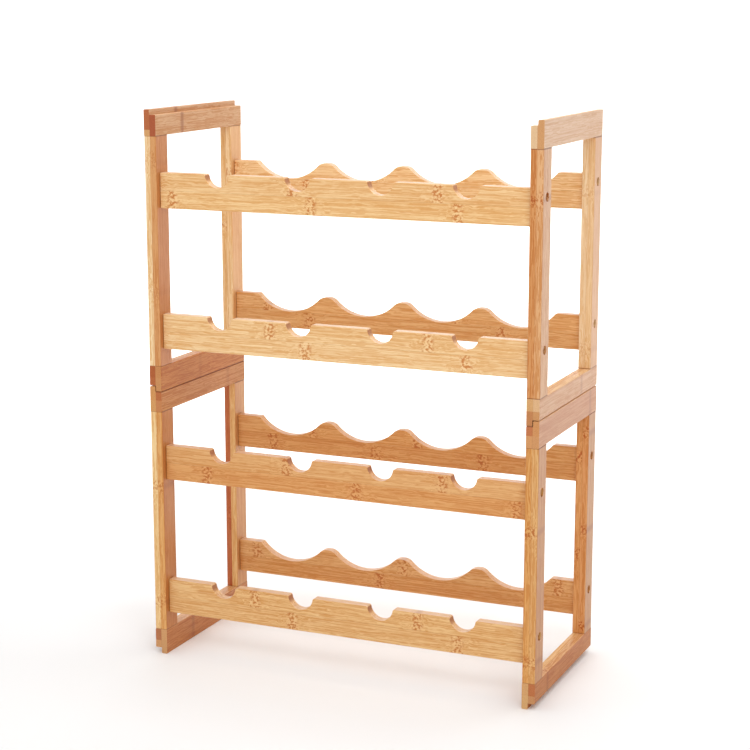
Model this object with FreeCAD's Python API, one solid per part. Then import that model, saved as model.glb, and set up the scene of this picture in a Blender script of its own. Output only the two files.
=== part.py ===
import FreeCAD
import Part
import math
import os

os.makedirs("parts", exist_ok=True)

# A bamboo wine rack made of two equal modules that stack.  All sizes in mm.
# +Z is up, the front is towards -Y, and the right-hand frame is at +X.
# The rack stands on z = 0 and is centred on x = 0 and y = 0.

# The whole rack
rack_depth = 210.0
stack_pitch = 320.0
module_names = ["lower", "upper"]

# Bottle columns, from which the rack takes its width
bottle_columns = 4
bottle_pitch = 100.0
end_margin = 73.5

# Side frames: two posts between two rails
frame_thickness = 15.0
post_depth = 27.0
rail_height = 24.0
post_edge_radius = 1.0
rail_edge_radius = 1.0

# Stacking joint: an outer lip stands up, an inner lip hangs down inside it.
# The inner lip carries the load, and the seam outside stays open a little.
lap_height = 6.0
outer_lip_thickness = 7.0
lap_clearance = 1.0
outer_seam = 1.0

# Boards that carry the bottles
board_thickness = 12.0
board_height = 41.0
board_edge_radius = 1.0
lower_board_level = 50.0
upper_board_drop = 65.5

# Neck notches in the front boards
neck_radius = 15.5
neck_depth = 15.0
neck_corner_radius = 2.5

# Waves in the back boards
wave_depth = 20.0
wave_crest_radius = 13.0
wave_crest_flat = 2.8
wave_end_radius = 3.0

# Wood screws through the posts into the board ends
screw_diameter = 4.0
screw_length = 35.0
screw_tip_length = 4.0
screw_head_diameter = 8.0
screw_head_height = 2.6
screw_drop = 9.5
counterbore_diameter = 10.0
counterbore_depth = 5.0
clearance_hole_diameter = 4.5
pilot_squeeze = 0.6
pilot_end_gap = 1.0
drive_slot_width = 1.0
drive_slot_length = 4.4
drive_slot_depth = 1.4

# Glued dowels between posts and rails
dowel_diameter = 6.0
dowel_length = 28.0
dowel_spacing = 13.0
dowel_squeeze = 0.1
dowel_end_gap = 1.0
dowel_chamfer = 0.8

# Positions worked out from the sizes above
inner_half_width = (bottle_columns - 1) * bottle_pitch / 2 + end_margin
half_width = inner_half_width + frame_thickness
half_depth = rack_depth / 2
inner_lip_thickness = frame_thickness - outer_lip_thickness - lap_clearance
bottom_rail_top = lap_height + rail_height
top_rail_bottom = stack_pitch - rail_height
post_length = top_rail_bottom - bottom_rail_top
post_centre_y = half_depth - post_depth / 2
board_offset = (post_depth - board_thickness) / 2
board_length = 2 * inner_half_width
upper_board_level = stack_pitch - upper_board_drop - board_height
board_levels = {"lower": lower_board_level, "upper": upper_board_level}
screw_height_on_board = board_height - screw_drop
wave_half_span = (bottle_pitch - wave_crest_flat) / 2
wave_radius = (wave_half_span ** 2 + wave_depth ** 2) / (2 * wave_depth) - wave_crest_radius
screw_depth_in_board = screw_length - (frame_thickness - counterbore_depth)
dowel_hole_depth = dowel_length / 2 + dowel_end_gap
sides = {"left": -1, "right": 1}
ends = {"front": -1, "back": 1}


def block(x_from, x_to, y_from, y_to, z_from, z_to):
    """A box between two corners given in any order."""
    low = FreeCAD.Vector(min(x_from, x_to), min(y_from, y_to), min(z_from, z_to))
    return Part.makeBox(abs(x_to - x_from), abs(y_to - y_from), abs(z_to - z_from), low)


def rod_along_x(radius, x_from, x_to, y, z):
    """A round rod from one x to another."""
    direction = FreeCAD.Vector(1 if x_to > x_from else -1, 0, 0)
    return Part.makeCylinder(radius, abs(x_to - x_from), FreeCAD.Vector(x_from, y, z), direction)


def rod_along_z(radius, x, y, z_from, z_to):
    """An upright round rod."""
    return Part.makeCylinder(radius, z_to - z_from, FreeCAD.Vector(x, y, z_from))


def one_solid(shape):
    """The single solid that a boolean result holds."""
    cleaned = shape.removeSplitter()
    if len(cleaned.Solids) != 1:
        raise ValueError("expected one solid, found %d" % len(cleaned.Solids))
    return cleaned.Solids[0]


def runs_along(edge, direction, length):
    """True for a straight edge of at least this length along a direction."""
    if len(edge.Vertexes) != 2:
        return False
    span = edge.Vertexes[1].Point.sub(edge.Vertexes[0].Point)
    return span.Length > length - 0.01 and abs(span.dot(direction)) > span.Length - 0.001


def ease_long_edges(solid, direction, length, radius, leave_x=None):
    """Round the long outside edges and leave the inside corner at leave_x, if any."""
    chosen = []
    for edge in solid.Edges:
        if not runs_along(edge, direction, length):
            continue
        point = edge.Vertexes[0].Point
        if leave_x is not None and abs(point.x - leave_x[0]) < 0.01 and abs(point.z - leave_x[1]) < 0.01:
            continue
        chosen.append(edge)
    return solid.makeFillet(radius, chosen).Solids[0]


def dowel_places():
    """The y of each dowel in one side frame."""
    places = []
    for end in ends.values():
        for step in (-0.5, 0.5):
            places.append(end * post_centre_y + step * dowel_spacing)
    return places


def dowel_x(side):
    """Dowels stand midway through the frame."""
    return side * (half_width - frame_thickness / 2)


def drill_dowels(solid, side, z_from, z_to, y_low, y_high):
    """Blind dowel holes in one face of a post or a rail."""
    radius = (dowel_diameter - dowel_squeeze) / 2
    for y in dowel_places():
        if y_low < y < y_high:
            solid = solid.cut(rod_along_z(radius, dowel_x(side), y, z_from, z_to))
    return one_solid(solid)


def make_top_rail(side):
    """A rail across the tops of the posts, with the outer lip standing up."""
    outer = side * half_width
    lip_face = side * (half_width - outer_lip_thickness)
    body = block(outer, side * inner_half_width, -half_depth, half_depth, top_rail_bottom, stack_pitch)
    lip_top = stack_pitch + lap_height
    lip = block(outer, lip_face, -half_depth, half_depth, stack_pitch, lip_top)
    rail = one_solid(body.fuse(lip))
    along = FreeCAD.Vector(0, 1, 0)
    rail = ease_long_edges(rail, along, rack_depth, rail_edge_radius, (lip_face, stack_pitch))
    hole_top = top_rail_bottom + dowel_hole_depth
    return drill_dowels(rail, side, top_rail_bottom - 1, hole_top, -half_depth, half_depth)


def make_bottom_rail(side):
    """A rail across the feet of the posts, with the inner lip hanging down."""
    outer = side * half_width
    inner = side * inner_half_width
    lip_face = side * (inner_half_width + inner_lip_thickness)
    shoulder = lap_height + outer_seam
    body = block(outer, inner, -half_depth, half_depth, shoulder, bottom_rail_top)
    lip = block(inner, lip_face, -half_depth, half_depth, 0, shoulder)
    rail = one_solid(body.fuse(lip))
    along = FreeCAD.Vector(0, 1, 0)
    rail = ease_long_edges(rail, along, rack_depth, rail_edge_radius, (lip_face, shoulder))
    hole_bottom = bottom_rail_top - dowel_hole_depth
    return drill_dowels(rail, side, hole_bottom, bottom_rail_top + 1, -half_depth, half_depth)


def screw_heights():
    """Heights of the two screws in a post."""
    return [level + screw_height_on_board for level in board_levels.values()]


def drill_screw_holes(post, side, y):
    """A counterbore and a clearance hole for each screw."""
    outer = side * half_width
    inner = side * inner_half_width
    floor = side * (half_width - counterbore_depth)
    for z in screw_heights():
        post = post.cut(rod_along_x(counterbore_diameter / 2, outer + side, floor, y, z))
        post = post.cut(rod_along_x(clearance_hole_diameter / 2, outer, inner - side, y, z))
    return one_solid(post)


def make_post(side, end):
    """An upright between the rails, drilled for its screws and dowels."""
    outer = side * half_width
    inner = side * inner_half_width
    face = end * half_depth
    post = block(outer, inner, face, face - end * post_depth, bottom_rail_top, top_rail_bottom)
    post = ease_long_edges(post, FreeCAD.Vector(0, 0, 1), post_length, post_edge_radius)
    post = drill_screw_holes(post, side, end * post_centre_y)
    y_low = end * post_centre_y - post_depth / 2
    y_high = end * post_centre_y + post_depth / 2
    low_hole_top = bottom_rail_top + dowel_hole_depth
    post = drill_dowels(post, side, bottom_rail_top - 1, low_hole_top, y_low, y_high)
    high_hole_bottom = top_rail_bottom - dowel_hole_depth
    return drill_dowels(post, side, high_hole_bottom, top_rail_bottom + 1, y_low, y_high)


def dip_corner(centre_x, top, radius, depth, corner, direction):
    """Points where a rounded corner of a dip meets the top edge and the round."""
    rise = radius - depth
    reach = math.sqrt((radius + corner) ** 2 - (rise + corner) ** 2)
    share = radius / (radius + corner)
    on_top = FreeCAD.Vector(centre_x + direction * reach, 0, top)
    on_round = FreeCAD.Vector(centre_x + direction * reach * share, 0, top + rise - (rise + corner) * share)
    centre = FreeCAD.Vector(on_top.x, 0, top - corner)
    away = on_top.add(on_round).multiply(0.5).sub(centre)
    middle = centre.add(away.multiply(corner / away.Length))
    return on_top, middle, on_round


def dip_edges(centre_x, top, radius, depth, left_corner, right_corner):
    """One rounded dip in a top edge, from left to right, with its two end points."""
    start, start_mid, low_left = dip_corner(centre_x, top, radius, depth, left_corner, -1)
    finish, finish_mid, low_right = dip_corner(centre_x, top, radius, depth, right_corner, 1)
    lowest = FreeCAD.Vector(centre_x, 0, top - depth)
    edges = [
        Part.Arc(start, start_mid, low_left).toShape(),
        Part.Arc(low_left, lowest, low_right).toShape(),
        Part.Arc(low_right, finish_mid, finish).toShape(),
    ]
    return start, finish, edges


def column_centres():
    """The x of each bottle column."""
    first = -(bottle_columns - 1) * bottle_pitch / 2
    return [first + index * bottle_pitch for index in range(bottle_columns)]


def neck_dips(top):
    """The notches that hold the bottle necks."""
    dips = []
    for x in column_centres():
        dips.append(dip_edges(x, top, neck_radius, neck_depth, neck_corner_radius, neck_corner_radius))
    return dips


def wave_dips(top):
    """The scallops that hold the bottle bodies, with rounded crests between them."""
    dips = []
    for index, x in enumerate(column_centres()):
        left = wave_end_radius if index == 0 else wave_crest_radius
        right = wave_end_radius if index == bottle_columns - 1 else wave_crest_radius
        dips.append(dip_edges(x, top, wave_radius, wave_depth, left, right))
    return dips


def board_outline(bottom, top, dips):
    """A closed outline in the XZ plane with dips along its top edge."""
    point = FreeCAD.Vector(-inner_half_width, 0, top)
    edges = []
    for start, finish, dip in dips:
        edges.append(Part.LineSegment(point, start).toShape())
        edges.extend(dip)
        point = finish
    corners = [point]
    corners.append(FreeCAD.Vector(inner_half_width, 0, top))
    corners.append(FreeCAD.Vector(inner_half_width, 0, bottom))
    corners.append(FreeCAD.Vector(-inner_half_width, 0, bottom))
    corners.append(FreeCAD.Vector(-inner_half_width, 0, top))
    for index in range(len(corners) - 1):
        edges.append(Part.LineSegment(corners[index], corners[index + 1]).toShape())
    return Part.Wire(edges)


def ease_board(board, y_front, y_back):
    """Round the top and bottom edges of both faces, not the ends in the posts."""
    chosen = []
    for edge in board.Edges:
        box = edge.BoundBox
        on_face = abs(box.YMax - box.YMin) < 0.01
        on_end = abs(box.XMax - box.XMin) < 0.01
        if on_face and not on_end:
            chosen.append(edge)
    return board.makeFillet(board_edge_radius, chosen).Solids[0]


def make_board(end, level, dips_for):
    """A board between the side frames, with its dips and pilot holes."""
    bottom = board_levels[level]
    top = bottom + board_height
    y_front = end * post_centre_y - board_thickness / 2
    outline = board_outline(bottom, top, dips_for(top))
    board = Part.Face(outline).extrude(FreeCAD.Vector(0, board_thickness, 0))
    board.translate(FreeCAD.Vector(0, y_front, 0))
    board = ease_board(board, y_front, y_front + board_thickness)
    radius = (screw_diameter - pilot_squeeze) / 2
    z = bottom + screw_height_on_board
    for side in sides.values():
        near = side * (inner_half_width + 1)
        far = side * (inner_half_width - screw_depth_in_board - pilot_end_gap)
        board = board.cut(rod_along_x(radius, near, far, end * post_centre_y, z))
    return one_solid(board)


def make_screw(side, y, z):
    """One pan-head wood screw with a cross drive, pointing inwards."""
    seat = half_width - counterbore_depth
    neck = seat - screw_length + screw_tip_length
    head = rod_along_x(screw_head_diameter / 2, side * seat, side * (seat + screw_head_height), y, z)
    shank = rod_along_x(screw_diameter / 2, side * seat, side * neck, y, z)
    inwards = FreeCAD.Vector(-side, 0, 0)
    tip_start = FreeCAD.Vector(side * neck, y, z)
    tip = Part.makeCone(screw_diameter / 2, 0.3, screw_tip_length, tip_start, inwards)
    screw = one_solid(head.fuse(shank).fuse(tip))
    slot_out = side * (seat + screw_head_height + 1)
    slot_in = side * (seat + screw_head_height - drive_slot_depth)
    long_half = drive_slot_length / 2
    wide_half = drive_slot_width / 2
    screw = screw.cut(block(slot_out, slot_in, y - long_half, y + long_half, z - wide_half, z + wide_half))
    screw = screw.cut(block(slot_out, slot_in, y - wide_half, y + wide_half, z - long_half, z + long_half))
    return one_solid(screw)


def make_screws(side):
    """The four screws of one side frame."""
    screws = []
    for end in ends.values():
        for z in screw_heights():
            screws.append(make_screw(side, end * post_centre_y, z))
    return Part.makeCompound(screws)


def make_dowel(x, y, z_middle):
    """One dowel with chamfered ends."""
    low = z_middle - dowel_length / 2
    dowel = rod_along_z(dowel_diameter / 2, x, y, low, low + dowel_length)
    rims = [edge for edge in dowel.Edges if edge.BoundBox.ZMax - edge.BoundBox.ZMin < 0.01]
    return dowel.makeChamfer(dowel_chamfer, rims).Solids[0]


def make_dowels(side):
    """The eight dowels of one side frame."""
    dowels = []
    for z in (bottom_rail_top, top_rail_bottom):
        for y in dowel_places():
            dowels.append(make_dowel(dowel_x(side), y, z))
    return Part.makeCompound(dowels)


def module_pieces():
    """Every piece of one module, by name, standing on z = 0."""
    pieces = {}
    for side_name, side in sides.items():
        for end_name, end in ends.items():
            pieces[side_name + "_" + end_name + "_post"] = make_post(side, end)
        pieces[side_name + "_top_rail"] = make_top_rail(side)
        pieces[side_name + "_bottom_rail"] = make_bottom_rail(side)
        pieces[side_name + "_screws"] = make_screws(side)
        pieces[side_name + "_dowels"] = make_dowels(side)
    for level in board_levels:
        pieces["front_" + level + "_board"] = make_board(ends["front"], level, neck_dips)
        pieces["back_" + level + "_board"] = make_board(ends["back"], level, wave_dips)
    return pieces


for index, module_name in enumerate(module_names):
    for piece_name, piece in module_pieces().items():
        placed = piece.copy()
        placed.translate(FreeCAD.Vector(0, 0, index * stack_pitch))
        placed.exportStep("parts/" + module_name + "_" + piece_name + ".step")
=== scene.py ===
import math

import bpy
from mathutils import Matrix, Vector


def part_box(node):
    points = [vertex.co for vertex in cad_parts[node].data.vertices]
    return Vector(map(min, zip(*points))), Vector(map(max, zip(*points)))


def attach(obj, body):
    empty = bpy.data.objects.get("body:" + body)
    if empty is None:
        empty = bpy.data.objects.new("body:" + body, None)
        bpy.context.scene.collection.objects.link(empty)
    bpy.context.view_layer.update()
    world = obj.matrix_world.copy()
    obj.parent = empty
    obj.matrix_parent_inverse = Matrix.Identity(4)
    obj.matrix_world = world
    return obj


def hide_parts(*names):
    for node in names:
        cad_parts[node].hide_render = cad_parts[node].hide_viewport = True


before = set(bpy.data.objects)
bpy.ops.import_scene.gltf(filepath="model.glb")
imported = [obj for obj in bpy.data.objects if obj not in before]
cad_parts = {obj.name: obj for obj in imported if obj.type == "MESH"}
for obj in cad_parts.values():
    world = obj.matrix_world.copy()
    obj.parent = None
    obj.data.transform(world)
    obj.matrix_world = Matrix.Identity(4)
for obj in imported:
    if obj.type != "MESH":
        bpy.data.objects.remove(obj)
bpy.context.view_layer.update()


# ---------------------------------------------------------------------------
# Posts.  Eight uprights of laminated bamboo, two plies thick, with the grain
# running up.  They stand between the rails on hidden dowels, and each is
# counterbored twice from outside for the screws that hold the boards.

mm = 0.001


def feed(tree, target, value):
    """Joins a socket to a node's input, or writes a constant on it."""
    if isinstance(value, bpy.types.NodeSocket):
        tree.links.new(value, target)
    elif value is not None:
        target.default_value = value


def calc(tree, operation, first, second=None):
    """One Math node."""
    node = tree.nodes.new("ShaderNodeMath")
    node.operation = operation
    feed(tree, node.inputs[0], first)
    feed(tree, node.inputs[1], second)
    return node.outputs[0]


def times(tree, *factors):
    """The product of sockets and numbers."""
    product = factors[0]
    for factor in factors[1:]:
        product = calc(tree, "MULTIPLY", product, factor)
    return product


def plus(tree, *terms):
    """The sum of sockets and numbers."""
    total = terms[0]
    for term in terms[1:]:
        total = calc(tree, "ADD", total, term)
    return total


def minus(tree, whole, part):
    """One socket or number less another."""
    return calc(tree, "SUBTRACT", whole, part)


def over(tree, share, whole):
    """One socket or number divided by another."""
    return calc(tree, "DIVIDE", share, whole)


def join_xyz(tree, x, y, z):
    """A vector from three numbers."""
    node = tree.nodes.new("ShaderNodeCombineXYZ")
    for place, value in enumerate((x, y, z)):
        feed(tree, node.inputs[place], value)
    return node.outputs[0]


def noise(tree, vector, scale, detail=2.0, roughness=0.5):
    """A smooth noise between 0 and 1."""
    node = tree.nodes.new("ShaderNodeTexNoise")
    feed(tree, node.inputs["Vector"], vector)
    node.inputs["Scale"].default_value = scale
    node.inputs["Detail"].default_value = detail
    node.inputs["Roughness"].default_value = roughness
    return node.outputs["Fac"]


def spread(tree, value, low, high, out_low=0.0, out_high=1.0, smooth=True):
    """Stretches part of a value's range, clamped."""
    node = tree.nodes.new("ShaderNodeMapRange")
    node.interpolation_type = "SMOOTHSTEP" if smooth else "LINEAR"
    feed(tree, node.inputs["Value"], value)
    for name, number in (("From Min", low), ("From Max", high), ("To Min", out_low), ("To Max", out_high)):
        feed(tree, node.inputs[name], number)
    return node.outputs["Result"]


def blend_colours(tree, share, first, second, how="MIX"):
    """Mixes two colours."""
    node = tree.nodes.new("ShaderNodeMix")
    node.data_type = "RGBA"
    node.blend_type = how
    feed(tree, node.inputs[0], share)
    feed(tree, node.inputs[6], first)
    feed(tree, node.inputs[7], second)
    return node.outputs[2]


def tinted(tree, colour, red, green, blue):
    """A colour with its three channels scaled."""
    return blend_colours(tree, 1.0, colour, (red, green, blue, 1.0), "MULTIPLY")


def srgb(red, green, blue):
    """A colour given as 0 to 255 display values."""
    linear = []
    for value in (red, green, blue):
        share = value / 255
        linear.append(share / 12.92 if share <= 0.04045 else ((share + 0.055) / 1.055) ** 2.4)
    return (*linear, 1.0)


def bamboo_group():
    """The look of sawn bamboo, in millimetres: U along the grain, V and W across it."""
    tree = bpy.data.node_groups.new("sawn_bamboo", "ShaderNodeTree")
    numbers = (
        "U", "V", "W", "Seed", "Joint at", "Joint spacing",
        "Streaks", "Knots", "Flat sawn", "End grain", "Seam",
    )
    for name in numbers:
        tree.interface.new_socket(name=name, in_out="INPUT", socket_type="NodeSocketFloat")
    for name in ("Tone", "End tone"):
        tree.interface.new_socket(name=name, in_out="INPUT", socket_type="NodeSocketColor")
    results = {"Color": "NodeSocketColor", "Roughness": "NodeSocketFloat", "Height": "NodeSocketFloat"}
    for name, kind in results.items():
        tree.interface.new_socket(name=name, in_out="OUTPUT", socket_type=kind)
    given = tree.nodes.new("NodeGroupInput").outputs
    result = tree.nodes.new("NodeGroupOutput").inputs
    u, v, w, seed = given["U"], given["V"], given["W"], given["Seed"]

    def centred(value):
        """A share turned into a swing about zero."""
        return minus(tree, value, 0.5)

    shifted_v = plus(tree, v, times(tree, seed, 17.0))

    def clouds(along, scale, detail, shift):
        """Noise whose cells are longer than wide where along is under one."""
        place = join_xyz(tree, times(tree, u, along), shifted_v, plus(tree, w, shift))
        return noise(tree, place, scale, detail)

    pale = tinted(tree, given["Tone"], 1.17, 1.33, 1.50)
    warm = tinted(tree, given["Tone"], 0.94, 0.80, 0.58)
    dark = tinted(tree, given["Tone"], 0.74, 0.41, 0.18)

    # how far a point is from the nearest joint of the culm, with a ragged edge
    turn = over(tree, minus(tree, u, given["Joint at"]), given["Joint spacing"])
    from_joint = times(tree, centred(calc(tree, "FRACT", plus(tree, turn, 0.5))), given["Joint spacing"])
    ragged = plus(tree, from_joint, times(tree, centred(clouds(0.5, 0.16, 1.0, 5.0)), 9.0))
    away = calc(tree, "ABSOLUTE", ragged)
    edge_sawn = minus(tree, 1.0, given["Flat sawn"])
    knuckle = times(tree, spread(tree, away, 3.0, 9.5, 1.0, 0.0), given["Knots"], edge_sawn)
    near = times(tree, spread(tree, away, 4.0, 38.0, 1.0, 0.0), edge_sawn)

    # fibres run along U, wander a little, fan out beside a joint and knot up inside it
    wander = times(tree, centred(clouds(0.30, 0.07, 2.0, 11.0)), 5.0)
    ripple = times(tree, centred(clouds(0.40, 0.20, 1.0, 23.0)), 1.5)
    fan = times(tree, centred(clouds(0.8, 0.11, 1.0, 37.0)), near, 7.0)
    knot = times(tree, centred(clouds(1.0, 0.30, 1.0, 41.0)), knuckle, 9.0)
    bend = plus(tree, wander, ripple, fan, knot)
    bent_v = plus(tree, shifted_v, bend)
    bent_w = plus(tree, w, bend)

    def fibres(along, scale, detail, rough, shift):
        """Noise drawn out along the grain, and bent with it."""
        place = join_xyz(tree, times(tree, u, along), bent_v, plus(tree, bent_w, shift))
        return noise(tree, place, scale, detail, rough)

    bands = fibres(0.012, 0.26, 2.0, 0.5, 0.0)
    lines = fibres(0.017, 0.86, 2.0, 0.6, 31.0)
    hair = fibres(0.030, 2.1, 2.0, 0.5, 77.0)
    patch = clouds(0.5, 0.022, 2.0, 53.0)
    wide = times(tree, centred(spread(tree, bands, 0.34, 0.66)), 0.50)
    middling = times(tree, centred(spread(tree, lines, 0.40, 0.60)), 0.90)
    fine = times(tree, centred(spread(tree, hair, 0.38, 0.62)), 0.30)
    figure = plus(tree, wide, middling, fine)
    calm = spread(tree, given["Flat sawn"], 0.0, 1.0, 1.0, 0.60)
    figure = plus(tree, times(tree, figure, given["Streaks"], calm), times(tree, centred(patch), 0.5), 0.5)
    figure = calc(tree, "MAXIMUM", calc(tree, "MINIMUM", figure, 1.0), 0.0)
    colour = blend_colours(tree, figure, pale, warm)

    # a few long dark fibres
    thread = spread(tree, fibres(0.012, 0.60, 3.0, 0.6, 143.0), 0.60, 0.72)
    colour = blend_colours(tree, times(tree, thread, given["Streaks"], calm, 0.34), colour, dark)

    # the joint: dark and pale strokes where it is cut on edge, a dull band on a flat face
    strokes = clouds(0.8, 0.36, 1.0, 61.0)
    strokes = plus(tree, times(tree, strokes, 0.65), times(tree, fibres(0.30, 0.42, 1.0, 0.5, 87.0), 0.35))
    pale_strokes = times(tree, spread(tree, strokes, 0.49, 0.40), knuckle, 0.90)
    dark_strokes = times(tree, spread(tree, strokes, 0.50, 0.57), knuckle, 0.92)
    colour = blend_colours(tree, pale_strokes, colour, pale)
    colour = blend_colours(tree, dark_strokes, colour, dark)
    from_scar = calc(tree, "ABSOLUTE", plus(tree, from_joint, times(tree, bend, 0.4)))
    scar = spread(tree, from_scar, 0.5, 6.0, 1.0, 0.0)
    scar = times(tree, scar, given["Flat sawn"], given["Knots"], 0.40)
    plum = tinted(tree, given["Tone"], 0.60, 0.42, 0.38)
    colour = blend_colours(tree, scar, colour, plum)
    pores = spread(tree, fibres(0.16, 1.9, 1.0, 0.5, 191.0), 0.64, 0.74)
    colour = blend_colours(tree, times(tree, pores, given["Flat sawn"], 0.22), colour, dark)

    # end grain is a plain tone with fine dark dots; glue lines are dark hairlines, and the same dark tone
    # is painted shade in the joints between parts
    dots = tree.nodes.new("ShaderNodeTexVoronoi")
    dots.inputs["Scale"].default_value = 1.3
    feed(tree, dots.inputs["Vector"], join_xyz(tree, times(tree, u, 0.05), v, w))
    dot = spread(tree, dots.outputs["Distance"], 0.12, 0.45, 0.55, 0.0)
    sawn = tinted(tree, given["End tone"], 0.55, 0.38, 0.25)
    sawn = blend_colours(tree, dot, given["End tone"], sawn)
    colour = blend_colours(tree, given["End grain"], colour, sawn)
    # the shadow tone colours the real glue lines and the painted shade in joints between parts
    shadow = tinted(tree, given["Tone"], 0.40, 0.22, 0.13)
    colour = blend_colours(tree, given["Seam"], colour, shadow)

    rough = plus(tree, 0.36, times(tree, lines, 0.10), times(tree, given["End grain"], 0.12))
    height = plus(tree, times(tree, lines, 0.5), times(tree, hair, 0.35), times(tree, given["Seam"], -0.8))
    dents = times(tree, spread(tree, strokes, 0.50, 0.59), knuckle, 0.6)
    height = minus(tree, height, dents)
    feed(tree, result["Color"], colour)
    feed(tree, result["Roughness"], rough)
    feed(tree, result["Height"], height)
    return tree


sawn_bamboo = bamboo_group()


def bamboo(
    name, axes, start, ply, plies, face, seed, joints=(0.0, 0.0), spacing=180.0, streaks=1.0, knots=1.0,
    ends=None, line=0.8, layers=None, end_tones=None, end_split=0.0, mate=None, gloss=1.0,
):
    """A lacquered bamboo finish for a piece glued up from two plies.

    axes are the grain's axis and the one across the plies.  start is where the first ply starts, in metres,
    and ply is how thick it is, in millimetres.  plies are the tones of the two plies on edge, and face is
    the tone of the flat sides.  joints are where each ply has a joint of the culm.  ends are the piece's
    two ends along the grain, where a dark line of the given width is painted shade in the joint with the
    next part.  layers are the start, thickness and number of the sheets that a board is pressed from.
    end_tones are the four blocks of an end, the lower pair first, and end_split is the height that parts
    the pairs.  mate is the height where two modules meet, where a dark line is painted shade in the gap,
    and which ply that line shows on.  gloss scales the lacquer's shine.
    """
    grain, across = axes
    through = [axis for axis in "XYZ" if axis not in axes][0]
    material = bpy.data.materials.new(name)
    material.use_nodes = True
    tree = material.node_tree
    shader = tree.nodes["Principled BSDF"]
    where = tree.nodes.new("ShaderNodeTexCoord")
    place = tree.nodes.new("ShaderNodeSeparateXYZ")
    tree.links.new(where.outputs["Object"], place.inputs[0])
    facing = tree.nodes.new("ShaderNodeSeparateXYZ")
    tree.links.new(where.outputs["Normal"], facing.inputs[0])
    group = tree.nodes.new("ShaderNodeGroup")
    group.node_tree = sawn_bamboo
    u = times(tree, place.outputs[grain], 1 / mm)
    v = times(tree, minus(tree, place.outputs[across], start), 1 / mm)
    w = times(tree, place.outputs[through], 1 / mm)
    past = minus(tree, v, ply)
    second = calc(tree, "GREATER_THAN", past, 0.0)
    flat = spread(tree, calc(tree, "ABSOLUTE", facing.outputs[across]), 0.55, 0.95)
    end = spread(tree, calc(tree, "ABSOLUTE", facing.outputs[grain]), 0.74, 0.95)

    tone = blend_colours(tree, second, srgb(*plies[0]), srgb(*plies[1]))
    tone = blend_colours(tree, flat, tone, srgb(*face))
    # dark glue line between the two plies; the lines at the ends and where modules meet are painted shade
    glue_lines_and_shade = spread(tree, calc(tree, "ABSOLUTE", past), 0.05, 0.35, 0.26, 0.0)
    # painted shade: a dark line at each end, where the piece meets the next part
    if ends:
        from_end = calc(tree, "MINIMUM", minus(tree, u, ends[0] / mm), minus(tree, ends[1] / mm, u))
        glue_lines_and_shade = calc(tree, "MAXIMUM", glue_lines_and_shade, spread(tree, from_end, line * 0.3, line, 0.8, 0.0))
    if layers:
        outside, thickness, count = layers
        sheet = over(tree, minus(tree, w, outside / mm), thickness)
        sheet = calc(tree, "MINIMUM", calc(tree, "MAXIMUM", sheet, 0.5), count - 0.5)
        from_glue = minus(tree, calc(tree, "FRACT", plus(tree, sheet, 0.5)), 0.5)
        from_glue = calc(tree, "ABSOLUTE", from_glue)
        glue_lines_and_shade = calc(tree, "MAXIMUM", glue_lines_and_shade, spread(tree, from_glue, 0.05, 0.17, 0.28, 0.0))
    # painted shade: a dark line at the height where two modules meet, for the shadow in the gap
    if mate:
        crack_height, crack_ply = mate
        from_crack = calc(tree, "ABSOLUTE", minus(tree, w, crack_height / mm))
        painted_gap_shade = spread(tree, from_crack, 0.4, 1.2, 0.8, 0.0)
        shows = second if crack_ply == 2 else minus(tree, 1.0, second)
        glue_lines_and_shade = calc(tree, "MAXIMUM", glue_lines_and_shade, times(tree, painted_gap_shade, shows))
    if end_tones:
        upper = calc(tree, "GREATER_THAN", w, end_split / mm)
        low_end = blend_colours(tree, second, srgb(*end_tones[0]), srgb(*end_tones[1]))
        high_end = blend_colours(tree, second, srgb(*end_tones[2]), srgb(*end_tones[3]))
        end_tone = blend_colours(tree, upper, low_end, high_end)
    else:
        end_tone = tinted(tree, tone, 0.57, 0.38, 0.26)

    given = {
        "U": u, "V": v, "W": w, "Seed": plus(tree, second, seed * 2.0),
        "Joint at": spread(tree, second, 0.0, 1.0, joints[0], joints[1], smooth=False),
        "Joint spacing": spacing, "Streaks": streaks, "Knots": knots, "Flat sawn": flat, "End grain": end,
        "Seam": glue_lines_and_shade, "Tone": tone, "End tone": end_tone,
    }
    for label, value in given.items():
        feed(tree, group.inputs[label], value)
    tree.links.new(group.outputs["Color"], shader.inputs["Base Color"])
    tree.links.new(group.outputs["Roughness"], shader.inputs["Roughness"])
    bump = tree.nodes.new("ShaderNodeBump")
    bump.inputs["Strength"].default_value = 0.22
    bump.inputs["Distance"].default_value = 0.4 * mm
    tree.links.new(group.outputs["Height"], bump.inputs["Height"])
    tree.links.new(bump.outputs["Normal"], shader.inputs["Normal"])
    shader.inputs["Specular IOR Level"].default_value = 0.34 * gloss
    shader.inputs["Coat Weight"].default_value = 0.12 * gloss
    shader.inputs["Coat Roughness"].default_value = 0.28
    return material
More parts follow.
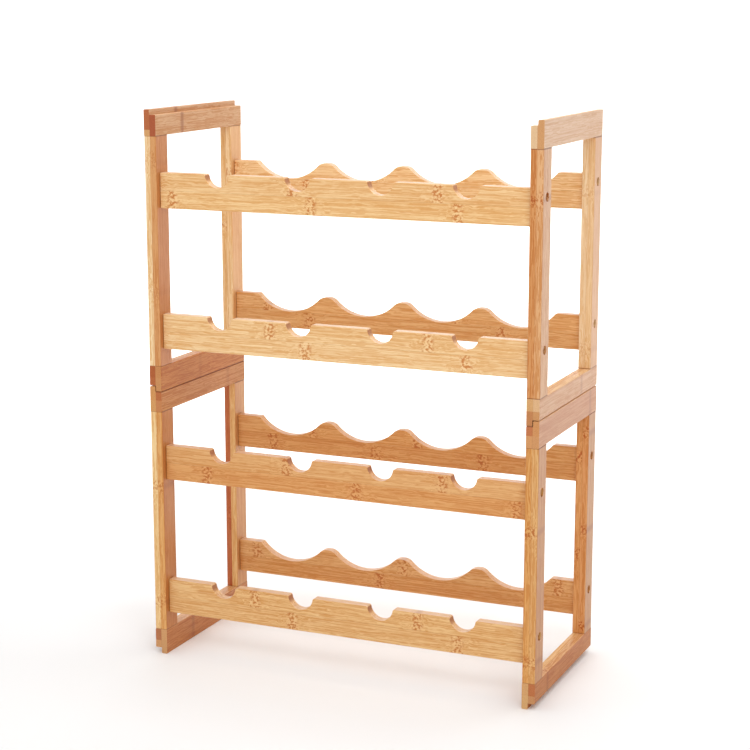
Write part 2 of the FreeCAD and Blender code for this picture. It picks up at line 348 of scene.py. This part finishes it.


# tones are display values from 0 to 255, joints are heights in millimetres, and line is the width of the
# painted shade line at each end of a post, where it meets the rails
post_looks = {
    "upper_left_front_post": {
        "plies": ((234, 194, 145), (206, 142, 85)), "face": (186, 119, 66), "joints": (441, 436),
        "spacing": 150, "knots": 0.35,
    },
    "upper_left_back_post": {
        "plies": ((226, 180, 126), (230, 188, 138)), "face": (212, 158, 104), "joints": (494, 560),
        "spacing": 210, "knots": 0.8, "streaks": 0.8,
    },
    "upper_right_front_post": {
        "plies": ((202, 133, 74), (213, 155, 103)), "face": (190, 138, 92), "joints": (563, 563),
        "spacing": 260, "streaks": 3.2, "knots": 1.3, "line": 1.5,
    },
    "upper_right_back_post": {
        "plies": ((226, 189, 146), (222, 180, 132)), "face": (198, 146, 102), "joints": (553, 372),
        "spacing": 181, "knots": 0.4, "streaks": 0.6, "line": 1.5,
    },
    "lower_left_front_post": {
        "plies": ((228, 184, 126), (212, 150, 84)), "face": (182, 114, 58), "joints": (206, 206),
        "spacing": 142, "knots": 0.8,
    },
    "lower_left_back_post": {
        "plies": ((182, 96, 48), (218, 168, 108)), "face": (194, 136, 84), "joints": (130, 180),
        "spacing": 220, "knots": 0.3,
    },
    "lower_right_front_post": {
        "plies": ((210, 147, 79), (213, 158, 97)), "face": (180, 122, 72), "joints": (202, 202),
        "spacing": 148, "streaks": 1.3,
    },
    "lower_right_back_post": {
        "plies": ((204, 138, 78), (204, 138, 80)), "face": (178, 124, 78), "joints": (245, 274),
        "spacing": 117, "knots": 1.2,
    },
}
ply = 7.5
for number, (name, look) in enumerate(post_looks.items()):
    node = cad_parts[name]
    low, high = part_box(name)
    # each post gets a painted shade line at both ends, where it meets the rails
    node.data.materials.clear()
    node.data.materials.append(
        bamboo("post_" + name, "ZX", low[0], ply, seed=number + 1, ends=(low[2], high[2]), **look)
    )


# ---------------------------------------------------------------------------
# Rails.  Eight full-depth caps and feet of the side frames, two plies thick
# with the grain running front to back.  The outer ply stands up as a lip on a
# top rail, and the inner one hangs down on a bottom rail, so modules nest.

# here joints are places from front to back, in millimetres from the middle
rail_looks = {
    "upper_left_top_rail": {
        "plies": ((200, 142, 102), (210, 158, 112)), "face": (195, 146, 104), "joints": (-43, -43),
        "streaks": 1.9, "knots": 1.8, "gloss": 0.5,
        "end_tones": ((216, 163, 107), (176, 93, 59), (186, 108, 67), (176, 93, 59)),
    },
    "upper_left_bottom_rail": {
        "plies": ((206, 150, 104), (200, 136, 86)), "face": (178, 106, 46), "joints": (30, -10),
        "streaks": 2.4, "knots": 0.5, "gloss": 0.5,
        "end_tones": ((186, 106, 60), (205, 145, 92), (180, 98, 54), (203, 140, 86)),
    },
    "upper_right_top_rail": {
        "plies": ((228, 190, 148), (214, 162, 112)), "face": (196, 152, 114), "joints": (-160, -160),
        "end_tones": ((229, 192, 148), (211, 155, 101), (229, 192, 148), (211, 155, 101)),
    },
    "upper_right_bottom_rail": {
        "plies": ((214, 164, 112), (216, 170, 122)), "face": (190, 138, 96), "joints": (45, 45),
        "end_tones": ((196, 130, 77), (206, 147, 91), (217, 166, 108), (224, 180, 132)),
    },
    "lower_left_top_rail": {
        "plies": ((204, 144, 92), (200, 138, 88)), "face": (182, 118, 64), "joints": (60, 60),
        "streaks": 2.4, "knots": 0.6, "gloss": 0.5,
        "end_tones": ((215, 158, 98), (202, 134, 84), (214, 152, 92), (190, 112, 66)),
    },
    "lower_left_bottom_rail": {
        "plies": ((206, 150, 98), (204, 150, 100)), "face": (178, 108, 50), "joints": (-20, -40),
        "streaks": 2.2, "end_tones": ((207, 151, 97), (205, 152, 99), (183, 113, 69), (210, 156, 102)),
    },
    "lower_right_top_rail": {
        "plies": ((204, 142, 90), (210, 152, 100)), "face": (182, 122, 78), "joints": (80, 80),
        "end_tones": ((213, 152, 96), (210, 150, 96), (196, 117, 69), (210, 146, 88)),
    },
    "lower_right_bottom_rail": {
        "plies": ((212, 164, 110), (200, 146, 98)), "face": (173, 103, 46), "joints": (-60, -60),
        "streaks": 1.6, "gloss": 0.5,
        "end_tones": ((215, 168, 113), (198, 142, 94), (212, 162, 108), (189, 114, 69)),
    },
}
upper_strips = {
    "upper_top": 23 * mm, "lower_top": 16.5 * mm,
    "upper_bottom": 13.5 * mm, "lower_bottom": 14 * mm,
}
inner_lip_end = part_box("upper_left_bottom_rail")[0][2]
for number, (name, look) in enumerate(rail_looks.items()):
    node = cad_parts[name]
    low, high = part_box(name)
    module, side, level = name.split("_")[:3]
    place = module + "_" + level
    split = high[2] - upper_strips[place]
    mate = None
    # lower top rails and upper bottom rails get a painted shade line where the modules meet
    if place in ("lower_top", "upper_bottom"):
        inner_ply = 2 if side == "left" else 1
        mate = (inner_lip_end, inner_ply)
    node.data.materials.clear()
    node.data.materials.append(bamboo("rail_" + name, "YX", low[0], ply, seed=number + 11, spacing=400.0,
                                      end_split=split, mate=mate, **look))


# ---------------------------------------------------------------------------
# Fluted beech pegs with chamfered ends, two in every joint between a
# post and a rail, glued in and never seen until the frame is taken apart.

def new_tree(name, lengths, counts=()):
    """An empty geometry tree with named inputs and a material.  Returns it, its inputs and its output."""
    tree = bpy.data.node_groups.new(name, "GeometryNodeTree")
    tree.is_modifier = True
    for label in lengths:
        tree.interface.new_socket(name=label, in_out="INPUT", socket_type="NodeSocketFloat")
    for label in counts:
        tree.interface.new_socket(name=label, in_out="INPUT", socket_type="NodeSocketInt")
    tree.interface.new_socket(name="Material", in_out="INPUT", socket_type="NodeSocketMaterial")
    tree.interface.new_socket(name="Geometry", in_out="OUTPUT", socket_type="NodeSocketGeometry")
    given = tree.nodes.new("NodeGroupInput").outputs
    result = tree.nodes.new("NodeGroupOutput").inputs
    return tree, given, result


def add_node(tree, kind, **inputs):
    """One node with some of its inputs fed.  An underscore in an input's name stands for a space."""
    node = tree.nodes.new(kind)
    for key, value in inputs.items():
        feed(tree, node.inputs[key.replace("_", " ")], value)
    return node


def made(tree, kind, **inputs):
    """What a new node gives first."""
    return add_node(tree, kind, **inputs).outputs[0]


def moved(tree, geometry, x, y, z):
    """A geometry shifted along the axes."""
    return made(tree, "GeometryNodeTransform", Geometry=geometry, Translation=join_xyz(tree, x, y, z))


def turned(tree, geometry, axis, degrees):
    """A geometry turned about one axis."""
    angles = [math.radians(degrees) if letter == axis else 0.0 for letter in "XYZ"]
    return made(tree, "GeometryNodeTransform", Geometry=geometry, Rotation=angles)


def merged(tree, *parts):
    """Several geometries as one."""
    node = tree.nodes.new("GeometryNodeJoinGeometry")
    for part in reversed(parts):
        tree.links.new(part, node.inputs[0])
    return node.outputs[0]


def finish_tree(tree, result, geometry, material):
    """Every tree ends with real meshes and their material."""
    whole = made(tree, "GeometryNodeRealizeInstances", Geometry=geometry)
    painted = made(tree, "GeometryNodeSetMaterial", Geometry=whole, Material=material)
    tree.links.new(painted, result["Geometry"])


def run_tree(tree, name, values):
    """A plain mesh object from a tree and the values of its inputs."""
    carrier = bpy.data.objects.new("carrier", bpy.data.meshes.new("carrier"))
    bpy.context.scene.collection.objects.link(carrier)
    modifier = carrier.modifiers.new("tree", "NODES")
    modifier.node_group = tree
    for item in tree.interface.items_tree:
        if item.item_type == "SOCKET" and item.in_out == "INPUT":
            modifier[item.identifier] = values[item.name]
    evaluated = carrier.evaluated_get(bpy.context.evaluated_depsgraph_get())
    mesh = bpy.data.meshes.new_from_object(evaluated)
    mesh.name = name
    piece = bpy.data.objects.new(name, mesh)
    bpy.context.scene.collection.objects.link(piece)
    bpy.data.objects.remove(carrier)
    return piece


def grid_points(tree, y_half, z_low, z_step):
    """Four points: two along Y, and two levels in Z."""
    span = times(tree, y_half, -2.0)
    row = made(
        tree, "GeometryNodeMeshLine", Count=2, Start_Location=join_xyz(tree, 0.0, y_half, z_low),
        Offset=join_xyz(tree, 0.0, span, 0.0),
    )
    lifted = moved(tree, row, 0.0, 0.0, z_step)
    return merged(tree, row, lifted)


def dowel_tree():
    """Fluted dowels at every joint of one side frame."""
    lengths = ("X", "Y of post", "Spacing", "Low joint", "Joint step", "Diameter", "Length")
    tree, given, result = new_tree("dowels", lengths)
    radius = times(tree, given["Diameter"], 0.5)
    flute = made(
        tree, "GeometryNodeCurveStar", Points=14, Inner_Radius=times(tree, radius, 0.93),
        Outer_Radius=radius,
    )
    half = times(tree, given["Length"], 0.5)
    line = made(
        tree, "GeometryNodeCurvePrimitiveLine", Start=join_xyz(tree, 0.0, 0.0, times(tree, half, -1.0)),
        End=join_xyz(tree, 0.0, 0.0, half),
    )
    line = made(tree, "GeometryNodeResampleCurve", Curve=line, Count=31)
    share = add_node(tree, "GeometryNodeSplineParameter").outputs["Factor"]
    to_end = minus(tree, 0.5, calc(tree, "ABSOLUTE", minus(tree, share, 0.5)))
    taper = spread(tree, to_end, 0.0, 0.03, 0.78, 1.0, smooth=False)
    peg = made(
        tree, "GeometryNodeCurveToMesh", Curve=line, Profile_Curve=flute, Scale=taper, Fill_Caps=True,
    )
    pairs = times(tree, given["Spacing"], 0.5)
    at_post = grid_points(tree, given["Y of post"], given["Low joint"], given["Joint step"])
    ahead = moved(tree, at_post, given["X"], pairs, 0.0)
    behind = moved(tree, at_post, given["X"], times(tree, pairs, -1.0), 0.0)
    pegs = made(tree, "GeometryNodeInstanceOnPoints", Points=merged(tree, ahead, behind), Instance=peg)
    finish_tree(tree, result, pegs, given["Material"])
    return tree


beech = (226, 190, 138)
dowel_wood = bamboo(
    "dowel_wood", "ZX", 0.0, 0.0, (beech, beech), beech, 31, spacing=900.0, streaks=0.5, knots=0.0,
)
dowels = dowel_tree()
modules = ("lower", "upper")
sides = ("left", "right")
for module in modules:
    for side in sides:
        node = module + "_" + side + "_dowels"
        low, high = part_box(node)
        post_low, post_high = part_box(module + "_" + side + "_front_post")
        back_low, back_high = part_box(module + "_" + side + "_back_post")
        piece = run_tree(dowels, module + "_module_" + side + "_dowel_pegs", {
            "X": (low[0] + high[0]) / 2, "Y of post": (back_low[1] + back_high[1]) / 2, "Spacing": 13 * mm,
            "Low joint": post_low[2], "Joint step": post_high[2] - post_low[2],
            "Diameter": high[0] - low[0], "Length": 28 * mm, "Material": dowel_wood})
        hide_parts(node)
        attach(piece, module + "_module")


# ---------------------------------------------------------------------------
# Boards.  Flat-pressed bamboo, two strips high with the grain running across
# the rack.  Front boards have four round notches for bottle necks and back
# boards four waves for bottle bodies, cut in the top edge and sanded round.

def board_tree():
    """A board whose top edge dips once for every bottle."""
    lengths = (
        "Length", "Thickness", "Bottom", "Top", "Front",
        "Pitch", "Dip radius", "Dip depth", "Crest radius", "End radius",
    )
    tree, given, result = new_tree("dipped_board", lengths, counts=("Bottles", "Steps"))
    radius, depth, pitch, steps = given["Dip radius"], given["Dip depth"], given["Pitch"], given["Steps"]
    columns = plus(tree, times(tree, given["Bottles"], steps), 1.0)
    sheet = made(tree, "GeometryNodeMeshGrid", Size_X=1.0, Size_Y=1.0, Vertices_X=columns, Vertices_Y=2)
    here = made(tree, "GeometryNodeInputPosition")
    split = add_node(tree, "ShaderNodeSeparateXYZ", Vector=here).outputs
    count = calc(tree, "ROUND", times(tree, plus(tree, split["X"], 0.5), minus(tree, columns, 1.0)))
    last = minus(tree, given["Bottles"], 1.0)
    cell = calc(tree, "MINIMUM", calc(tree, "FLOOR", over(tree, count, steps)), last)
    within = minus(tree, over(tree, count, steps), cell)
    # the middle column of a dip counts as its right half
    just_under_half = 0.499
    side = calc(tree, "SIGN", minus(tree, within, just_under_half))
    reach_share = times(tree, calc(tree, "ABSOLUTE", minus(tree, within, 0.5)), 2.0)
    middle = times(tree, minus(tree, cell, times(tree, last, 0.5)), pitch)

    # an outermost half dip ends at the side frame, every other one at a crest
    first_dip = calc(tree, "LESS_THAN", cell, 0.5)
    last_dip = calc(tree, "GREATER_THAN", cell, minus(tree, last, 0.5))
    at_left = times(tree, first_dip, calc(tree, "LESS_THAN", side, 0.0))
    at_right = times(tree, last_dip, calc(tree, "GREATER_THAN", side, 0.0))
    outermost = plus(tree, at_left, at_right)
    corner = spread(tree, outermost, 0.0, 1.0, given["Crest radius"], given["End radius"], smooth=False)
    outer_middle = times(tree, last, 0.5, pitch)
    to_frame = minus(tree, times(tree, given["Length"], 0.5), outer_middle)
    cell_edge = spread(tree, outermost, 0.0, 1.0, times(tree, pitch, 0.5), to_frame, smooth=False)

    # the dip's round, then its rounded corner, then the flat, each with its share of the columns
    round_end = 0.6
    corner_end = 0.9
    rise = minus(tree, radius, depth)
    far = plus(tree, radius, corner)
    near = plus(tree, rise, corner)
    reach = calc(tree, "SQRT", minus(tree, times(tree, far, far), times(tree, near, near)))
    turn = calc(tree, "ARCTAN2", reach, near)
    angle = times(tree, turn, spread(tree, reach_share, 0.0, round_end, smooth=False))
    x_round = times(tree, radius, calc(tree, "SINE", angle))
    z_round = minus(tree, plus(tree, given["Top"], rise), times(tree, radius, calc(tree, "COSINE", angle)))
    back_turn = times(tree, turn, spread(tree, reach_share, round_end, corner_end, 1.0, 0.0, smooth=False))
    x_corner = minus(tree, reach, times(tree, corner, calc(tree, "SINE", back_turn)))
    z_corner = plus(
        tree, minus(tree, given["Top"], corner), times(tree, corner, calc(tree, "COSINE", back_turn)),
    )
    on_flat = spread(tree, reach_share, corner_end, 1.0, smooth=False)
    x_flat = times(tree, on_flat, minus(tree, cell_edge, reach))
    past_round = calc(tree, "GREATER_THAN", reach_share, round_end)
    x_bent = spread(tree, past_round, 0.0, 1.0, x_round, plus(tree, x_corner, x_flat), smooth=False)
    z_top = spread(tree, past_round, 0.0, 1.0, z_round, z_corner, smooth=False)
    x_all = plus(tree, middle, times(tree, side, x_bent))
    upper_row = calc(tree, "GREATER_THAN", split["Y"], 0.0)
    z_all = spread(tree, upper_row, 0.0, 1.0, given["Bottom"], z_top, smooth=False)
    faced = made(
        tree, "GeometryNodeSetPosition", Geometry=sheet,
        Position=join_xyz(tree, x_all, given["Front"], z_all),
    )
    solid = made(
        tree, "GeometryNodeExtrudeMesh", Mesh=faced, Offset=join_xyz(tree, 0.0, given["Thickness"], 0.0),
        Offset_Scale=1.0, Individual=False,
    )
    lid = made(tree, "GeometryNodeFlipFaces", Mesh=faced)
    closed = made(
        tree, "GeometryNodeMergeByDistance", Geometry=merged(tree, solid, lid), Distance=0.001 * mm,
    )
    finish_tree(tree, result, closed, given["Material"])
    return tree


def round_edges(piece, width):
    """Sanded edges with smooth shading."""
    bevel = piece.modifiers.new("sanded_edges", "BEVEL")
    bevel.width = width
    bevel.segments = 3
    bevel.limit_method = "ANGLE"
    bevel.angle_limit = math.radians(40)
    bevel.harden_normals = True
    for polygon in piece.data.polygons:
        polygon.use_smooth = True


# here joints are places from left to right, in millimetres from the middle
board_looks = {
    "upper_front_upper_board": {
        "plies": ((232, 184, 126), (231, 183, 127)), "joints": (-34, -56), "spacing": 174, "streaks": 0.8,
    },
    "upper_front_lower_board": {
        "plies": ((233, 188, 134), (232, 186, 131)), "joints": (-42, -86), "spacing": 193, "streaks": 0.8,
    },
    "upper_back_upper_board": {
        "plies": ((228, 180, 126), (230, 182, 128)), "joints": (60, -40), "spacing": 185,
    },
    "upper_back_lower_board": {
        "plies": ((213, 156, 98), (218, 162, 104)), "joints": (-123, 70), "spacing": 249,
    },
    "lower_front_upper_board": {
        "plies": ((212, 147, 85), (216, 158, 99)), "joints": (-169, -66), "spacing": 190, "streaks": 0.8,
    },
    "lower_front_lower_board": {
        "plies": ((219, 168, 110), (220, 169, 110)), "joints": (-61, -109), "spacing": 205,
    },
    "lower_back_upper_board": {
        "plies": ((204, 140, 79), (210, 149, 88)), "joints": (-34, 20), "spacing": 140,
    },
    "lower_back_lower_board": {
        "plies": ((207, 145, 85), (213, 156, 98)), "joints": (-29, 2), "spacing": 200,
    },
}
dips = {
    "front": {
        "Dip radius": 15.5 * mm, "Dip depth": 15 * mm, "Crest radius": 2.5 * mm, "End radius": 2.5 * mm,
    },
    "back": {"Dip radius": 56.05 * mm, "Dip depth": 20 * mm, "Crest radius": 13 * mm, "End radius": 3 * mm},
}
boards = board_tree()
sheets = 3
seed = 40
for module in modules:
    for end, dip in dips.items():
        for level in ("lower", "upper"):
            node = module + "_" + end + "_" + level + "_board"
            low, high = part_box(node)
            look = board_looks[node]
            strip = (high[2] - low[2]) / 2 / mm
            sheet = (high[1] - low[1]) / sheets / mm
            red, green, blue = look["plies"][1]
            # edges facing up and down take a greyer, pinker copy of the board's tone, a painted reflection
            # of the pale studio
            edge_tone_with_painted_reflection = (red - 6, green + 1, blue + 18)
            # painted shade: a dark line at each board end, where it meets the posts
            material = bamboo("board_" + node, "XZ", low[2], strip, face=edge_tone_with_painted_reflection, seed=seed,
                              ends=(low[0], high[0]), layers=(low[1], sheet, sheets), **look)
            values = {
                "Length": high[0] - low[0], "Thickness": high[1] - low[1], "Bottom": low[2], "Top": high[2],
                "Front": low[1], "Bottles": 4, "Pitch": 100 * mm, "Steps": 60, "Material": material,
            }
            values.update(dip)
            piece = run_tree(boards, module + "_module_" + level + "_" + end + "_board", values)
            round_edges(piece, 1.0 * mm)
            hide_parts(node)
            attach(piece, module + "_module")
            seed += 1


# ---------------------------------------------------------------------------
# Screws.  Zinc-plated pan-head wood screws with a cross drive, one through a
# post into each board end, sunk in the counterbores of the side frames.

def screw_tree():
    """The eight screws of one module."""
    lengths = (
        "Seat", "Y of post", "Low board", "Board step", "Head diameter", "Head height", "Shank diameter",
        "Length", "Tip", "Thread pitch", "Slot length", "Slot width", "Slot depth",
    )
    tree, given, result = new_tree("screws", lengths)

    def drum(radius, top_radius, low, height, sides_round=40):
        """A short cone standing at the given height."""
        cone = made(
            tree, "GeometryNodeMeshCone", Vertices=sides_round, Radius_Bottom=radius, Radius_Top=top_radius,
            Depth=height,
        )
        return moved(tree, cone, 0.0, 0.0, low)

    # the screw points down -Z, with the underside of its head at z = 0
    head_radius = times(tree, given["Head diameter"], 0.5)
    tall = given["Head height"]
    rings = []
    shape = ((0.0, 0.90), (0.12, 1.0), (0.38, 0.99), (0.64, 0.90), (0.84, 0.72), (1.0, 0.45))
    for (low_share, low_wide), (high_share, high_wide) in zip(shape, shape[1:]):
        rings.append(drum(times(tree, head_radius, low_wide), times(tree, head_radius, high_wide),
                          times(tree, tall, low_share), times(tree, tall, high_share - low_share)))
    shank_radius = times(tree, given["Shank diameter"], 0.42)
    shank = minus(tree, given["Length"], given["Tip"])
    rings.append(drum(shank_radius, shank_radius, times(tree, shank, -1.0), shank, 24))
    rings.append(drum(0.1 * mm, shank_radius, times(tree, given["Length"], -1.0), given["Tip"], 24))
    body = add_node(tree, "GeometryNodeMeshBoolean")
    body.operation = "UNION"
    for ring in rings:
        tree.links.new(ring, body.inputs[1])
    slot_top = plus(tree, tall, 1 * mm)
    slot_tall = plus(tree, given["Slot depth"], 1 * mm)
    cutter = add_node(tree, "GeometryNodeMeshBoolean", Mesh_1=body.outputs[0])
    for long_x in (True, False):
        length = given["Slot length"] if long_x else given["Slot width"]
        width = given["Slot width"] if long_x else given["Slot length"]
        bar = made(tree, "GeometryNodeMeshCube", Size=join_xyz(tree, length, width, slot_tall))
        height = minus(tree, slot_top, times(tree, slot_tall, 0.5))
        bar = moved(tree, bar, 0.0, 0.0, height)
        tree.links.new(bar, cutter.inputs[1])
    threaded = times(tree, shank, 0.7)
    turns = over(tree, threaded, given["Thread pitch"])
    helix = made(
        tree, "GeometryNodeCurveSpiral", Resolution=20, Rotations=turns, Start_Radius=shank_radius,
        End_Radius=shank_radius, Height=threaded,
    )
    ridge = made(
        tree, "GeometryNodeCurvePrimitiveCircle", Resolution=3,
        Radius=minus(tree, times(tree, given["Shank diameter"], 0.5), shank_radius),
    )
    thread = made(tree, "GeometryNodeCurveToMesh", Curve=helix, Profile_Curve=ridge, Fill_Caps=True)
    thread = moved(tree, thread, 0.0, 0.0, times(tree, shank, -1.0))
    screw = merged(tree, cutter.outputs[0], thread)

    # laid on its side, head outwards, one at each crossing of a post and a board
    laid = turned(tree, screw, "Y", 90)
    crossings = grid_points(tree, given["Y of post"], given["Low board"], given["Board step"])
    crossings = moved(tree, crossings, given["Seat"], 0.0, 0.0)
    right = made(tree, "GeometryNodeInstanceOnPoints", Points=crossings, Instance=laid)
    right = made(tree, "GeometryNodeRealizeInstances", Geometry=right)
    left = turned(tree, right, "Z", 180)
    finish_tree(tree, result, merged(tree, right, left), given["Material"])
    return tree


def zinc_plate():
    """Yellow zinc plating with faint mottling."""
    material = bpy.data.materials.new("zinc_plate")
    material.use_nodes = True
    tree = material.node_tree
    shader = tree.nodes["Principled BSDF"]
    shader.inputs["Metallic"].default_value = 1.0
    where = tree.nodes.new("ShaderNodeTexCoord").outputs["Object"]
    mottle = noise(tree, where, 900.0, 3.0, 0.6)
    tree.links.new(
        blend_colours(tree, mottle, srgb(150, 122, 84), srgb(196, 166, 118)), shader.inputs["Base Color"],
    )
    tree.links.new(plus(tree, times(tree, mottle, 0.2), 0.28), shader.inputs["Roughness"])
    return material


zinc = zinc_plate()
screws = screw_tree()
for module in modules:
    nodes = [module + "_" + side + "_screws" for side in sides]
    low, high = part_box(module + "_right_screws")
    board_low, board_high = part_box(module + "_front_lower_board")
    top_low, top_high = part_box(module + "_front_upper_board")
    head_diameter = 8 * mm
    head_height = 2.6 * mm
    below_crest = 9.5 * mm
    piece = run_tree(
        screws, module + "_module_screw_set",
        {
            "Seat": high[0] - head_height, "Y of post": high[1] - head_diameter / 2,
            "Low board": board_high[2] - below_crest, "Board step": top_high[2] - board_high[2],
            "Head diameter": head_diameter, "Head height": head_height, "Shank diameter": 4 * mm,
            "Length": 35 * mm, "Tip": 4 * mm, "Thread pitch": 1.8 * mm, "Slot length": 4.4 * mm,
            "Slot width": 1 * mm, "Slot depth": 1.4 * mm, "Material": zinc,
        },
    )
    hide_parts(*nodes)
    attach(piece, module + "_module")


# ---------------------------------------------------------------------------
# Studio.  A white floor that sweeps up behind the rack, a large soft light
# high at the front right, and a long lens a little above the rack.

def plain_white(name, shade, roughness):
    """A matt white surface."""
    material = bpy.data.materials.new(name)
    material.use_nodes = True
    shader = material.node_tree.nodes["Principled BSDF"]
    shader.inputs["Base Color"].default_value = (shade, shade, shade, 1.0)
    shader.inputs["Roughness"].default_value = roughness
    shader.inputs["Specular IOR Level"].default_value = 0.1
    return material


def sweep_floor(half_width, front, back, bend, height):
    """A floor that curves up into a wall."""
    outline = [(front, 0.0), (back - bend, 0.0)]
    steps = 16
    for step in range(1, steps + 1):
        angle = math.radians(90) * step / steps
        outline.append((back - bend + bend * math.sin(angle), bend - bend * math.cos(angle)))
    outline.append((back, height))
    points = [(side * half_width, y, z) for y, z in outline for side in (-1, 1)]
    faces = [(2 * i, 2 * i + 1, 2 * i + 3, 2 * i + 2) for i in range(len(outline) - 1)]
    mesh = bpy.data.meshes.new("studio_floor")
    mesh.from_pydata(points, [], faces)
    for polygon in mesh.polygons:
        polygon.use_smooth = True
    floor = bpy.data.objects.new("studio_floor", mesh)
    bpy.context.scene.collection.objects.link(floor)
    return floor


floor = sweep_floor(half_width=9.0, front=-9.0, back=5.0, bend=2.0, height=6.0)
floor.data.materials.append(plain_white("floor_white", 0.92, 0.6))


def soft_light(name, place, aim, size, watts, tint):
    """A square softbox."""
    lamp = bpy.data.lights.new(name, "AREA")
    lamp.shape = "SQUARE"
    lamp.size = size
    lamp.energy = watts
    lamp.color = tint
    holder = bpy.data.objects.new(name, lamp)
    bpy.context.scene.collection.objects.link(holder)
    holder.location = place
    holder.visible_camera = False
    look = [a - b for a, b in zip(aim, place)]
    flat = math.hypot(look[0], look[1])
    holder.rotation_euler = (
        math.atan2(flat, -look[2]), 0.0, math.atan2(look[1], look[0]) - math.radians(90),
    )
    return holder


soft_light("key", (1.0, -1.8, 2.2), (0.0, 0.0, 0.40), 1.3, 17.0, (1.0, 0.99, 0.98))
soft_light("side", (0.95, 0.75, 0.55), (0.23, 0.0, 0.40), 0.6, 1.9, (1.0, 0.97, 0.95))
soft_light("top", (0.0, -0.1, 2.3), (0.0, 0.0, 0.3), 1.2, 12.0, (1.0, 1.0, 1.0))
soft_light("backdrop", (-0.7, 1.9, 2.4), (-0.9, 4.4, 0.2), 2.4, 150.0, (1.0, 1.0, 1.0))

world = bpy.data.worlds.new("studio")
world.use_nodes = True
world.node_tree.nodes["Background"].inputs["Color"].default_value = (1.0, 1.0, 1.0, 1.0)
world.node_tree.nodes["Background"].inputs["Strength"].default_value = 0.72
bpy.context.scene.world = world
bpy.context.scene.view_settings.view_transform = "Standard"

azimuth = math.radians(23.39)
elevation = math.radians(11.35)
distance = 2.198
aim = (0.0019, 0.0, 0.3389)
lens = bpy.data.cameras.new("camera")
lens.sensor_width = 36.0
lens.lens = 90.57
camera = bpy.data.objects.new("camera", lens)
bpy.context.scene.collection.objects.link(camera)
camera.location = (
    aim[0] + distance * math.sin(azimuth) * math.cos(elevation),
    aim[1] - distance * math.cos(azimuth) * math.cos(elevation),
    aim[2] + distance * math.sin(elevation),
)
camera.rotation_euler = (math.radians(90) - elevation, 0.0, azimuth)
bpy.context.scene.camera = camera
